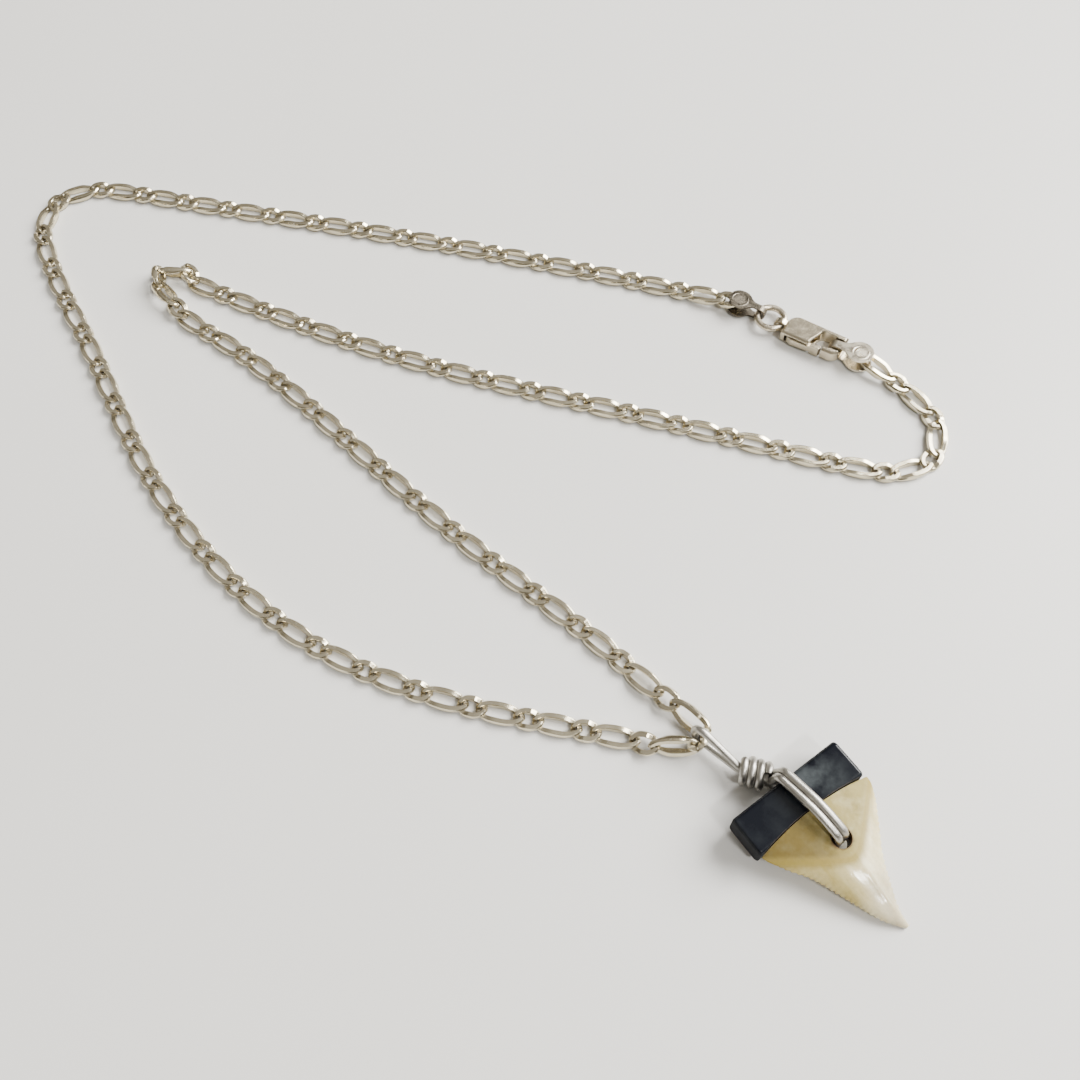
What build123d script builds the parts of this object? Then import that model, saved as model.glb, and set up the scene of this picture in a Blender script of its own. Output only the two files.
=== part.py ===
from build123d import *
from math import atan2, cos, degrees, hypot, pi, radians, sin
import os

os.makedirs("parts", exist_ok=True)

# A silver link necklace lying on a table, with a tooth pendant on a wire bail.
# Millimetres. X runs along the longer side of the laid loop, Y away from the
# wearer's neck opening towards the far strand, Z up from the table.

# chain: long and small links take turns
PAIR_PITCH = 7.0
LINK_PAIRS = 70
LINK_WIDTH = PAIR_PITCH * 0.4
JOINT_PLAY = PAIR_PITCH * 0.041
TIP_WIRE = LINK_WIDTH * 0.207
SIDE_WIRE = LINK_WIDTH * 0.279
SIDE_HEIGHT = LINK_WIDTH * 0.179
TIP_HEIGHT = LINK_WIDTH * 0.15
TWIST_RISE = LINK_WIDTH * 0.179
CUT_HEIGHT = LINK_WIDTH * 0.179
LONG_SPAN = PAIR_PITCH * 0.664
SMALL_SPAN = PAIR_PITCH - LONG_SPAN
LONG_STATIONS = 12
SMALL_STATIONS = 10
TIP_INNER_FACE = 0.35
TIP_BLUNTNESS = 0.85
RIPPLE = 2.0

# the laid loop grows with the number and the pitch of the links
LAY = LINK_PAIRS * PAIR_PITCH / 490
CLUSTER = PAIR_PITCH / 7

# clasp, measured along its length from the tail lug
CLASP_TAIL = (44.7 * LAY, 21.95 * LAY)
CLASP_HEADING = -35.5
CLASP_LENGTH = 9.2
CLASP_WIDTH = 3.66
CLASP_THICKNESS = 2.2
CLASP_START = 0.62
TAIL_ROUND = 1.6
TIP_ROUND = 1.5
EDGE_BEVEL = 0.3
BASE_BEVEL = 0.45
WINDOW_START = 4.7
WINDOW_SWEEP = 1.5
WINDOW_ROUND = 0.8
WINDOW_HALF = 1.2
TIP_BAR = 1.3
TIP_BAR_THICKNESS = 0.9
TIP_BAR_SEAT = 0.4
PLATE = 0.5
LEVER_PLAY = 0.1
PIVOT = (2.5, -0.3)
PIVOT_PIN = 0.4
GATE_SPLIT = 6.65
LUG_RADIUS = 1.05
LUG_HOLE = 0.7
LUG_WIDTH = 0.8
NUB_AT = 6.5

# jump ring
RING_RADIUS = 1.9
RING_WIRE = 0.45

# end tags: sheet folded round an eye, with a post that holds the end link
TAG_SHEET = 0.25
TAG_EYE = 0.73
TAG_EYE_BAR = 0.8
LEFT_NECK = 0.95
RIGHT_NECK = 1.3
LEFT_LOBE = 1.6
RIGHT_LOBE = 1.8
LEFT_REACH = 3.05
RIGHT_REACH = 3.4
TAG_POST = 0.26
LEFT_POST_OUT = 0.9
RIGHT_POST_OUT = 1.15

# wire bail: a doubled wire, both strands over the pendant, through its hole and back under
WIRE = 0.46
STRAND_GAP = 0.1
COIL_PITCH = 2 * WIRE + 0.03
COIL_RADIUS = 1.34
COIL_LENGTH = 3.9
CORE_SPREAD = 0.5
CORE_RADIUS = 1.1
BOW = 0.7
BOW_FOOT = 3.4
BOW_SHOULDER = 0.7
HOLE_TO_COIL = 9.8
LOOP_REACH = 6.3
LOOP_TOP = 5.3
LOOP_BOTTOM = 1.25
LOOP_HEAD = 1.5

# pendant: tooth and cap, placed by the middle of the cap
PENDANT_AT = (35.05 * LAY, -44.55 * LAY)
PENDANT_TURN = 32.1
PENDANT_LIFT = 0.04
CAP_LENGTH = 15.1
CAP_DEPTH = 4.9
CAP_THICKNESS = 3.9
CAP_BOTTOM = 1.02
CAP_ROUND = 0.6
CAP_END_ROUND = 0.4
MOUTH_ARCH = 0.7
TOOTH_GAP = 0.1
STUB_LENGTH = 8.6
STUB_DEPTH = 2.6
STUB_THICKNESS = 2.2
TOOTH_EDGE = 0.16
TOOTH_HOLE = 1.16
TOOTH_HOLE_AT = (0.96, -6.09)


def pose(x, y, z, heading, climb, lean):
    """A plane whose X runs along a piece, leaned about that axis."""
    turn = radians(heading)
    rise = radians(climb)
    tip = radians(lean)
    along = Vector(cos(turn) * cos(rise), sin(turn) * cos(rise), sin(rise))
    side = Vector(-sin(turn), cos(turn), 0)
    up = along.cross(side)
    return Plane(origin=(x, y, z), x_dir=along, z_dir=up * cos(tip) + side * sin(tip))


# chain links


def link(length, stations):
    """One twisted link with flat-cut faces, its long axis along X."""
    reach = (length - TIP_WIRE) / 2
    spread = (LINK_WIDTH - SIDE_WIRE) / 2
    rings = []
    for number in range(stations):
        turn = 2 * pi * number / stations
        share = sin(turn) ** 2
        full = min(1, 1.5 * share)
        wire = TIP_WIRE + (SIDE_WIRE - TIP_WIRE) * share
        half = (TIP_HEIGHT + (SIDE_HEIGHT - TIP_HEIGHT) * full) / 2
        inner = half * (TIP_INNER_FACE + (1 - TIP_INNER_FACE) * full)
        bluntness = abs(cos(turn)) ** TIP_BLUNTNESS
        x = reach * bluntness * (1 if cos(turn) > 0 else -1)
        y = spread * sin(turn)
        z = -TWIST_RISE * sin(2 * turn)
        size = hypot(spread * cos(turn), reach * sin(turn))
        out_x = spread * cos(turn) / size
        out_y = reach * sin(turn) / size
        section = [(-wire / 2, -inner), (-wire / 2, inner), (wire / 10, half), (wire / 2, 0), (wire / 10, -half)]
        ring = []
        for out, up in section:
            height = max(-CUT_HEIGHT, min(CUT_HEIGHT, z + up))
            ring.append(Vector(x + out_x * out, y + out_y * out, height))
        rings.append(ring)
    faces = []
    for here, there in zip(rings, rings[1:] + rings[:1]):
        for near, far, far_on, near_on in zip(here, here[1:] + here[:1], there[1:] + there[:1], there):
            faces.append(Face(Wire.make_polygon([near, far, far_on])))
            faces.append(Face(Wire.make_polygon([near, far_on, near_on])))
    return Solid(Shell(faces))


def is_small(number):
    return number % 2 == 0


def span(number):
    return SMALL_SPAN if is_small(number) else LONG_SPAN


def lean_at(number, leans):
    """Lean of a link in degrees, from the places where the chain turns on edge."""
    lean = RIPPLE * sin(number * 1.9)
    for place, reach, angle in leans:
        lean += angle * max(0, 1 - abs(number - place) / reach)
    return lean


def rest_height(lean):
    """Height of a link's middle when it lies on the table at a lean."""
    edge = abs(sin(radians(lean)))
    flat = abs(cos(radians(lean)))
    return max(edge * LINK_WIDTH * 0.4 + flat * CUT_HEIGHT, edge * LINK_WIDTH / 2 + flat * SIDE_HEIGHT / 2)


def strand(start, rows, end, first, last, leans):
    """Planes of the links numbered first to last along a smooth route."""
    middle = [Vector(x * LAY, y * LAY, CUT_HEIGHT) for x, y in rows]
    route = Edge.make_spline([start] + middle + [end])
    numbers = list(range(first, last + 1))
    total = sum(span(number) for number in numbers)
    planes = []
    passed = 0
    for number in numbers:
        here = route @ (passed / total)
        passed += span(number)
        there = route @ (passed / total)
        lean = lean_at(number, leans)
        before = (rest_height(lean) + rest_height(lean_at(number - 1, leans))) / 2
        after = (rest_height(lean) + rest_height(lean_at(number + 1, leans))) / 2
        low = max(here.Z, before)
        high = max(there.Z, after)
        run = hypot(there.X - here.X, there.Y - here.Y)
        heading = degrees(atan2(there.Y - here.Y, there.X - here.X))
        climb = degrees(atan2(high - low, run))
        middle = (here + there) / 2
        planes.append(pose(middle.X, middle.Y, (low + high) / 2, heading, climb, lean))
    return planes


def cluster(centre, rows):
    """Planes of links that are placed one by one where the chain turns sharply."""
    planes = []
    for x, y, z, heading, climb, lean in rows:
        at_x = centre[0] * LAY + x * CLUSTER
        at_y = centre[1] * LAY + y * CLUSTER
        planes.append(pose(at_x, at_y, z * CLUSTER, heading, climb, lean))
    return planes


def joint(plane, number, way):
    """Where a placed link meets the next one (way 1) or the one before (way -1)."""
    return plane.origin + plane.x_dir * (way * span(number) / 2)


# end hardware places
CLASP = pose(CLASP_TAIL[0], CLASP_TAIL[1], 0, CLASP_HEADING, 0, 0)
RING_CENTRE = CLASP.from_local_coords((0.03 - RING_RADIUS * 0.985, 0.33, CLASP_THICKNESS / 2 - 0.03))
RING = Plane(origin=RING_CENTRE, x_dir=(1, 0, 0), z_dir=(0.035, 0.06, 1))
LEFT_WAY = radians(142)
LEFT_EYE = RING_CENTRE + Vector(cos(LEFT_WAY), sin(LEFT_WAY), 0) * (RING_RADIUS - 0.05)
LEFT_TAG = pose(LEFT_EYE.X, LEFT_EYE.Y, 1.05, 148, 4, -6)
RIGHT_EYE = CLASP.from_local_coords((CLASP_LENGTH - TIP_BAR / 2 - TIP_BAR_SEAT, 0, CLASP_THICKNESS / 2))
RIGHT_TAG = pose(RIGHT_EYE.X, RIGHT_EYE.Y, RIGHT_EYE.Z + 0.03, -32, 3, 6)
LEFT_POST = LEFT_TAG.from_local_coords((LEFT_REACH + LEFT_POST_OUT, 0, 0))
RIGHT_POST = RIGHT_TAG.from_local_coords((RIGHT_REACH + RIGHT_POST_OUT, 0, 0))
POST_SEAT = JOINT_PLAY / 2 + TIP_WIRE / 2 + 0.06
FIRST_WAY = radians(158)
LAST_WAY = radians(134)
LEFT_START = LEFT_POST - Vector(cos(FIRST_WAY), sin(FIRST_WAY), 0) * POST_SEAT
RIGHT_END = RIGHT_POST + Vector(cos(LAST_WAY), sin(LAST_WAY), 0) * POST_SEAT

# links at the bail, about the middle of the chain: x, y, z, heading, climb, lean
MIDDLE = 2 * round(LINK_PAIRS / 2)
BAIL_TURN_AT = (24.0, -34.0)
BAIL_TURN = [
    (-8.15, -0.91, 0.55, -15.9, 0.6, 0),
    (-4.89, -2.1, 1.0, -24, 10.5, -17.9),
    (-1.55, -2.8, 1.48, -7.5, 6.5, -59.4),
    (1.43, -2.32, 1.52, 60.5, -23.7, -121.6),
    (0.74, 0.5, 1.3, 133, 6, -145),
    (-1.72, 3.06, 1.27, 133.6, -8.3, -156.6),
    (-4.14, 5.68, 0.85, 132.7, -5.8, -170),
    (-6.4, 8.3, 0.5, 131, 0, 0),
]
BAIL_LINKS = cluster(BAIL_TURN_AT, BAIL_TURN)
BAIL_FIRST = MIDDLE - 3
BAIL_LAST = MIDDLE + 4

# links at the far turn: x, y, z, heading, climb, lean
FAR = MIDDLE + 2 * round(LINK_PAIRS * 0.214)
FAR_TURN_AT = (-41.0, 37.0)
FAR_TURN = [
    (2.5, -6.3, 0.5, 138, 0, 0),
    (0.38, -3.88, 0.85, 120.5, 8, -11),
    (-1.43, -1.34, 1.22, 127, 3, -37),
    (-2.58, 1.52, 1.61, 92.6, 11.6, -77),
    (-0.7, 2.56, 1.28, -8.6, 0.7, -115),
    (1.74, 2.15, 1.03, -66, -7.4, -149),
    (4.0, -0.1, 0.5, -31, 0, 0),
]
FAR_LINKS = cluster(FAR_TURN_AT, FAR_TURN)
FAR_FIRST = FAR - 3
FAR_LAST = FAR + 3

# the three lying strands: x, y of points on the chain's middle line
NEAR_STRAND = [
    (27.6, 31.1),
    (14.4, 35.9),
    (-5.3, 42.6),
    (-25.4, 48.9),
    (-45.5, 55.1),
    (-52.1, 57.1),
    (-58.8, 57.1),
    (-62.2, 53.4),
    (-61.5, 46.4),
    (-52.7, 27.4),
    (-43.9, 8.3),
    (-32.2, -9.1),
    (-22.2, -18.8),
    (-10.2, -26.1),
    (2.8, -31.1),
    (9.6, -33.1),
]
DIAGONAL_STRAND = [
    (10.7, -18.7),
    (0.6, -9.1),
    (-8.9, 0.9),
    (-23.0, 16.5),
    (-33.0, 26.2),
]
RETURN_STRAND = [
    (-31.2, 33.5),
    (-12.7, 23.7),
    (6.4, 15.6),
    (26.1, 8.2),
    (45.7, 0.5),
    (52.3, -1.9),
    (59.0, -2.3),
    (62.6, 2.5),
    (60.6, 8.6),
]

# where the chain leans on edge: link, reach in links, degrees
NEAR_LEANS = [(0, 2, -6)]
DIAGONAL_LEANS = []
LAST = 2 * round(LINK_PAIRS) - 1
RETURN_LEANS = [(LAST, 2, -6)]

PLACES = strand(
    LEFT_START, NEAR_STRAND, joint(BAIL_LINKS[0], BAIL_FIRST, -1), 0, BAIL_FIRST - 1, NEAR_LEANS
)
PLACES += BAIL_LINKS
PLACES += strand(
    joint(BAIL_LINKS[-1], BAIL_LAST, 1),
    DIAGONAL_STRAND,
    joint(FAR_LINKS[0], FAR_FIRST, -1),
    BAIL_LAST + 1,
    FAR_FIRST - 1,
    DIAGONAL_LEANS,
)
PLACES += FAR_LINKS
PLACES += strand(
    joint(FAR_LINKS[-1], FAR_LAST, 1), RETURN_STRAND, RIGHT_END, FAR_LAST + 1, LAST, RETURN_LEANS
)

LONG = link(LONG_SPAN + JOINT_PLAY + 2 * TIP_WIRE, LONG_STATIONS)
SMALL = link(SMALL_SPAN + JOINT_PLAY + 2 * TIP_WIRE, SMALL_STATIONS)

with BuildPart() as chain:
    with Locations(*[plane.location for number, plane in enumerate(PLACES) if is_small(number)]):
        add(SMALL)
    with Locations(*[plane.location for number, plane in enumerate(PLACES) if not is_small(number)]):
        add(LONG)

chain.part.label = "chain"
export_step(chain.part, "parts/chain.step", write_pcurves=False)


# end tags


def tag(place, eye, neck_width, lobe, reach, post_out):
    """A leaf tag: two teardrop leaves joined by an eye, and a post between them."""
    outer = eye + TAG_SHEET
    length = reach + lobe
    side = Plane(origin=place.origin, x_dir=place.x_dir, z_dir=-place.y_dir)
    with BuildPart() as folded:
        with BuildSketch(side):
            Circle(outer)
            Rectangle(length, 2 * outer, align=(Align.MIN, Align.CENTER))
            Circle(eye, mode=Mode.SUBTRACT)
            Rectangle(length, 2 * eye, align=(Align.MIN, Align.CENTER), mode=Mode.SUBTRACT)
        extrude(amount=lobe + 1, both=True)
        with BuildSketch(place):
            with BuildLine():
                neck = neck_width / 2
                Line((-outer, -neck), (-outer, neck))
                Line((-outer, neck), (eye, neck))
                shoulder = Spline(
                    (eye, neck),
                    (reach * 0.6, lobe * 0.7),
                    (reach, lobe),
                    tangents=[(1, 0), (1, 0)],
                )
                ThreePointArc(shoulder @ 1, (length, 0), (reach, -lobe))
                Spline(
                    (reach, -lobe),
                    (reach * 0.6, -lobe * 0.7),
                    (eye, -neck),
                    tangents=[(-1, 0), (-1, 0)],
                )
                Line((eye, -neck), (-outer, -neck))
            make_face()
        extrude(amount=outer, both=True, mode=Mode.INTERSECT)
        with BuildSketch(place):
            with Locations((reach + post_out, 0)):
                Circle(TAG_POST)
        extrude(amount=eye + TAG_SHEET / 2, both=True)
    return folded


left_tag = tag(LEFT_TAG, TAG_EYE, LEFT_NECK, LEFT_LOBE, LEFT_REACH, LEFT_POST_OUT)
left_tag.part.label = "left_tag"
export_step(left_tag.part, "parts/left_tag.step")

right_tag = tag(RIGHT_TAG, TAG_EYE_BAR, RIGHT_NECK, RIGHT_LOBE, RIGHT_REACH, RIGHT_POST_OUT)
right_tag.part.label = "right_tag"
export_step(right_tag.part, "parts/right_tag.step")

# jump ring
with BuildPart(RING) as jump_ring:
    Torus(RING_RADIUS, RING_WIRE)

jump_ring.part.label = "jump_ring"
export_step(jump_ring.part, "parts/jump_ring.step")

# clasp body, long axis along its own X, near side -Y, lying on its lower plate
HALF = CLASP_WIDTH / 2
BODY_MIDDLE = (CLASP_START + CLASP_LENGTH) / 2
WINDOW_END = CLASP_LENGTH - TIP_BAR
SLOT_LOW = PLATE
SLOT_HIGH = CLASP_THICKNESS - PLATE
GATE_RADIUS = GATE_SPLIT - PIVOT[0]

with BuildPart() as clasp_body:
    with BuildSketch(CLASP) as body_plan:
        with Locations((BODY_MIDDLE, 0)):
            Rectangle(CLASP_LENGTH - CLASP_START, CLASP_WIDTH)
        fillet(body_plan.vertices().group_by(Axis((0, 0, 0), CLASP.x_dir))[0], TAIL_ROUND)
        fillet(body_plan.vertices().group_by(Axis((0, 0, 0), CLASP.x_dir))[-1], TIP_ROUND)
    extrude(amount=CLASP_THICKNESS)
    top_edges = clasp_body.faces().sort_by(Axis.Z)[-1].edges()
    chamfer(top_edges, EDGE_BEVEL)
    bottom_edges = clasp_body.faces().sort_by(Axis.Z)[0].edges()
    chamfer(bottom_edges, BASE_BEVEL)
    # window with an S-shaped left edge and a rounded right end
    with BuildSketch(CLASP):
        with BuildLine():
            Spline(
                (WINDOW_START, -WINDOW_HALF),
                (WINDOW_START + WINDOW_SWEEP * 0.37, WINDOW_HALF * 0.1),
                (WINDOW_START + WINDOW_SWEEP, WINDOW_HALF),
                tangents=[(0.2, 1), (1, 0)],
            )
            round_start = WINDOW_END - WINDOW_ROUND
            Line((WINDOW_START + WINDOW_SWEEP, WINDOW_HALF), (round_start, WINDOW_HALF))
            RadiusArc((round_start, WINDOW_HALF), (WINDOW_END, WINDOW_HALF - WINDOW_ROUND), WINDOW_ROUND)
            Line((WINDOW_END, WINDOW_HALF - WINDOW_ROUND), (WINDOW_END, WINDOW_ROUND - WINDOW_HALF))
            RadiusArc((WINDOW_END, WINDOW_ROUND - WINDOW_HALF), (round_start, -WINDOW_HALF), WINDOW_ROUND)
            Line((round_start, -WINDOW_HALF), (WINDOW_START, -WINDOW_HALF))
        make_face()
    extrude(amount=CLASP_THICKNESS, mode=Mode.SUBTRACT)
    # open stretch of the near side that the gate closes
    with BuildSketch(CLASP):
        with Locations((GATE_SPLIT, -WINDOW_HALF)):
            Rectangle(GATE_SPLIT - WINDOW_START, HALF, align=(Align.MAX, Align.MAX))
    extrude(amount=CLASP_THICKNESS, mode=Mode.SUBTRACT)
    # slot between the two plates for the lever
    with BuildSketch(CLASP.offset(SLOT_LOW)):
        with Locations((PIVOT[0] - 1.3, 0.95)):
            Rectangle(CLASP_LENGTH / 2, HALF + 2, align=(Align.MIN, Align.MAX))
    extrude(amount=SLOT_HIGH - SLOT_LOW, mode=Mode.SUBTRACT)
    # pivot pin
    with BuildSketch(CLASP):
        with Locations(PIVOT):
            Circle(PIVOT_PIN)
    extrude(amount=CLASP_THICKNESS)
    # tip bar, thinned above and below for the tag's eye
    thin = (CLASP_THICKNESS - TIP_BAR_THICKNESS) / 2
    with BuildSketch(CLASP, CLASP.offset(CLASP_THICKNESS - thin)):
        with Locations((WINDOW_END - WINDOW_ROUND / 2, 0)):
            Rectangle(TIP_BAR * 2, WINDOW_HALF * 1.7, align=(Align.MIN, Align.CENTER))
    extrude(amount=thin, mode=Mode.SUBTRACT)
    # tail lug
    with BuildSketch(Plane(origin=CLASP.origin, x_dir=CLASP.x_dir, z_dir=-CLASP.y_dir)):
        with Locations((-0.05, CLASP_THICKNESS / 2)):
            Circle(LUG_RADIUS)
        with Locations((-0.05, CLASP_THICKNESS / 2)):
            Rectangle(CLASP_START + 0.6, LUG_RADIUS, align=(Align.MIN, Align.CENTER))
    extrude(amount=LUG_WIDTH / 2, both=True)
    with BuildSketch(Plane(origin=CLASP.origin, x_dir=CLASP.x_dir, z_dir=-CLASP.y_dir)):
        with Locations((-0.05, CLASP_THICKNESS / 2)):
            Circle(LUG_HOLE)
    extrude(amount=LUG_WIDTH, both=True, mode=Mode.SUBTRACT)
    # nub on the far edge
    with BuildSketch(Plane(origin=CLASP.origin + CLASP.y_dir * (HALF - 0.3), x_dir=CLASP.x_dir, z_dir=CLASP.y_dir)):
        with Locations((NUB_AT, -CLASP_THICKNESS * 0.6)):
            Circle(0.3)
    extrude(amount=0.5)

clasp_body.part.label = "clasp_body"
export_step(clasp_body.part, "parts/clasp_body.step")

# clasp lever: hub on the pivot, thumb strip along the near edge, gate at its end
with BuildPart() as clasp_lever:
    with BuildSketch(CLASP.offset(SLOT_LOW + LEVER_PLAY)):
        with Locations(PIVOT):
            Circle(PIVOT_PIN + 0.55)
        with BuildLine():
            Polyline(
                (PIVOT[0] - 0.9, PIVOT[1]),
                (PIVOT[0] - 0.9, -HALF),
                (PIVOT[0] - 0.2, -HALF - 0.3),
                (WINDOW_START, -HALF - 0.15),
                (WINDOW_START + 0.6, -HALF),
                (WINDOW_START + 0.6, -WINDOW_HALF - 0.05),
                (PIVOT[0] + 0.9, -WINDOW_HALF + 0.2),
                (PIVOT[0] + 0.9, PIVOT[1]),
                close=True,
            )
        make_face()
    extrude(amount=SLOT_HIGH - SLOT_LOW - 2 * LEVER_PLAY)
    with BuildSketch(CLASP.offset(0.25)) as gate_plan:
        with Locations((WINDOW_START + LEVER_PLAY + 0.25, -WINDOW_HALF - 0.05)):
            Rectangle(GATE_SPLIT, HALF - WINDOW_HALF, align=(Align.MIN, Align.MAX))
        with Locations(PIVOT):
            Circle(GATE_RADIUS - LEVER_PLAY / 2, mode=Mode.INTERSECT)
    extrude(amount=CLASP_THICKNESS - 0.5)
    with BuildSketch(CLASP):
        with Locations(PIVOT):
            Circle(PIVOT_PIN + 0.1)
    extrude(amount=CLASP_THICKNESS, mode=Mode.SUBTRACT)

clasp_lever.part.label = "clasp_lever"
export_step(clasp_lever.part, "parts/clasp_lever.step")

# wire bail
PENDANT = pose(PENDANT_AT[0], PENDANT_AT[1], PENDANT_LIFT, PENDANT_TURN, 0, 0)
HOLE = PENDANT.from_local_coords((TOOTH_HOLE_AT[0], TOOTH_HOLE_AT[1], 0))
STRANDS = pose(HOLE.X, HOLE.Y, 0, 128.6, 0, 0)
COIL_START = STRANDS.from_local_coords((HOLE_TO_COIL, 0, 0))
COIL = pose(COIL_START.X, COIL_START.Y, COIL_RADIUS + WIRE + 0.05, 156.8, 0, 0)
COIL_END = COIL.from_local_coords((COIL_LENGTH, 0, 0))
LOOP = pose(COIL_END.X, COIL_END.Y, 0, 135.9, 0, 0)
CAP_TOP = CAP_BOTTOM + CAP_THICKNESS
BOW_TOP = CAP_TOP + WIRE + BOW
UNDER = WIRE
STRAND_SIDE = WIRE + STRAND_GAP / 2


def coil_point(along, side, up):
    return COIL.from_local_coords((along, side, up))


def strand_point(along, side, up):
    return STRANDS.from_local_coords((along, side, up))


def loop_point(along, up):
    return LOOP.from_local_coords((along, 0, up))


def strand_path(side):
    """One strand: from the coil over the cap, down the hole and back under."""
    return FilletPolyline(
        coil_point(2 * WIRE, side, CORE_SPREAD),
        coil_point(0, side, CORE_SPREAD),
        strand_point(HOLE_TO_COIL - BOW_SHOULDER, side, BOW_TOP - 0.3),
        strand_point(BOW_FOOT, side, BOW_TOP + 0.2),
        strand_point(0, side, BOW_TOP - 1.2),
        strand_point(0, side, UNDER),
        strand_point(HOLE_TO_COIL - 1.2, side, UNDER),
        coil_point(0, side, -CORE_SPREAD),
        coil_point(2 * WIRE, side, -CORE_SPREAD),
        radius=[0.6, 0.8, 3.0, 1.2, 0.8, 0.8, 0.8],
    )


LEFT_STRAND = strand_path(STRAND_SIDE)
RIGHT_STRAND = strand_path(-STRAND_SIDE)
CORE_END = COIL_LENGTH - 2 * WIRE
LOOP_PATH = FilletPolyline(
    coil_point(CORE_END, 0, CORE_SPREAD),
    coil_point(COIL_LENGTH, 0, CORE_SPREAD),
    loop_point(LOOP_REACH, LOOP_TOP),
    loop_point(LOOP_REACH, LOOP_BOTTOM),
    coil_point(COIL_LENGTH, 0, -CORE_SPREAD),
    coil_point(CORE_END, 0, -CORE_SPREAD),
    radius=[0.8, LOOP_HEAD, LOOP_HEAD, 0.8],
)

COIL_AXIS = Plane(origin=coil_point(WIRE, 0, 0), x_dir=COIL.z_dir, z_dir=COIL.x_dir)
COIL_PATH = Helix(
    pitch=COIL_PITCH, height=COIL_LENGTH - 2 * WIRE, radius=COIL_RADIUS, center=(0, 0, 0), direction=(0, 0, 1)
).moved(Location(COIL_AXIS))

with BuildPart() as wire_bail:
    # packed middle of the coil, where the strands meet the loop
    with BuildSketch(Plane(origin=coil_point(WIRE, 0, 0), z_dir=COIL.x_dir)):
        Circle(CORE_RADIUS)
    extrude(amount=COIL_LENGTH - 2 * WIRE)
    with BuildSketch(Plane(origin=COIL_PATH @ 0, z_dir=COIL_PATH % 0)):
        Circle(WIRE)
    sweep(path=COIL_PATH, is_frenet=True)
    with BuildSketch(Plane(origin=LEFT_STRAND @ 0, z_dir=LEFT_STRAND % 0)):
        Circle(WIRE)
    sweep(path=LEFT_STRAND)
    with BuildSketch(Plane(origin=RIGHT_STRAND @ 0, z_dir=RIGHT_STRAND % 0)):
        Circle(WIRE)
    sweep(path=RIGHT_STRAND)
    with BuildSketch(Plane(origin=LOOP_PATH @ 0, z_dir=LOOP_PATH % 0)):
        Circle(WIRE)
    sweep(path=LOOP_PATH)

wire_bail.part.label = "wire_bail"
export_step(wire_bail.part, "parts/wire_bail.step")

# tooth: distance below the cap's middle, left edge, right edge, thickness, middle height
TOOTH_SECTIONS = [
    (1.4, -7.1, 7.9, 3.8, 2.95),
    (2.6, -7.1, 8.2, 3.8, 2.9),
    (4.9, -5.93, 7.4, 3.5, 2.75),
    (7.1, -4.35, 5.9, 3.1, 2.55),
    (10.2, -2.85, 3.8, 2.5, 2.0),
    (12.7, -1.75, 2.7, 2.0, 1.42),
    (15.45, -0.4, 1.65, 1.3, 0.82),
    (17.2, 1.0, 1.5, 0.5, 0.3),
]
MOUTH = -CAP_DEPTH / 2


def above_mouth(gap):
    """Outline of everything on the cap's side of its arched mouth, gap away from it."""
    with BuildSketch(PENDANT) as region:
        with BuildLine():
            reach = CAP_LENGTH
            edge = MOUTH - gap
            ThreePointArc((-reach / 2, edge), (0, edge + MOUTH_ARCH), (reach / 2, edge))
            Polyline(
                (reach / 2, edge),
                (reach, edge),
                (reach, reach),
                (-reach, reach),
                (-reach, edge),
                (-reach / 2, edge),
            )
        make_face()
    return region.sketch


with BuildPart() as tooth:
    for depth, left, right, thick, height in TOOTH_SECTIONS:
        centre = PENDANT.from_local_coords((0, -depth, height))
        with BuildSketch(Plane(origin=centre, x_dir=PENDANT.x_dir, z_dir=-PENDANT.y_dir)):
            with BuildLine():
                Line((left, -TOOTH_EDGE), (left, TOOTH_EDGE))
                ThreePointArc((left, TOOTH_EDGE), ((left + right) / 2, thick / 2), (right, TOOTH_EDGE))
                Line((right, TOOTH_EDGE), (right, -TOOTH_EDGE))
                ThreePointArc((right, -TOOTH_EDGE), ((left + right) / 2, -thick / 2), (left, -TOOTH_EDGE))
            make_face()
    loft()
    extrude(above_mouth(TOOTH_GAP), amount=CAP_LENGTH, mode=Mode.SUBTRACT)
    # stub that sits in the cap's pocket
    stub_middle = PENDANT.from_local_coords((0, MOUTH - 1, CAP_BOTTOM + CAP_THICKNESS / 2))
    with BuildSketch(Plane(origin=stub_middle, x_dir=PENDANT.x_dir, z_dir=PENDANT.y_dir)):
        RectangleRounded(STUB_LENGTH, STUB_THICKNESS, STUB_THICKNESS / 3)
    extrude(amount=STUB_DEPTH + 1)
    with BuildSketch(PENDANT):
        with Locations(TOOTH_HOLE_AT):
            Circle(TOOTH_HOLE)
    extrude(amount=CAP_LENGTH, mode=Mode.SUBTRACT)

tooth.part.label = "tooth"
export_step(tooth.part, "parts/tooth.step")

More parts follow.
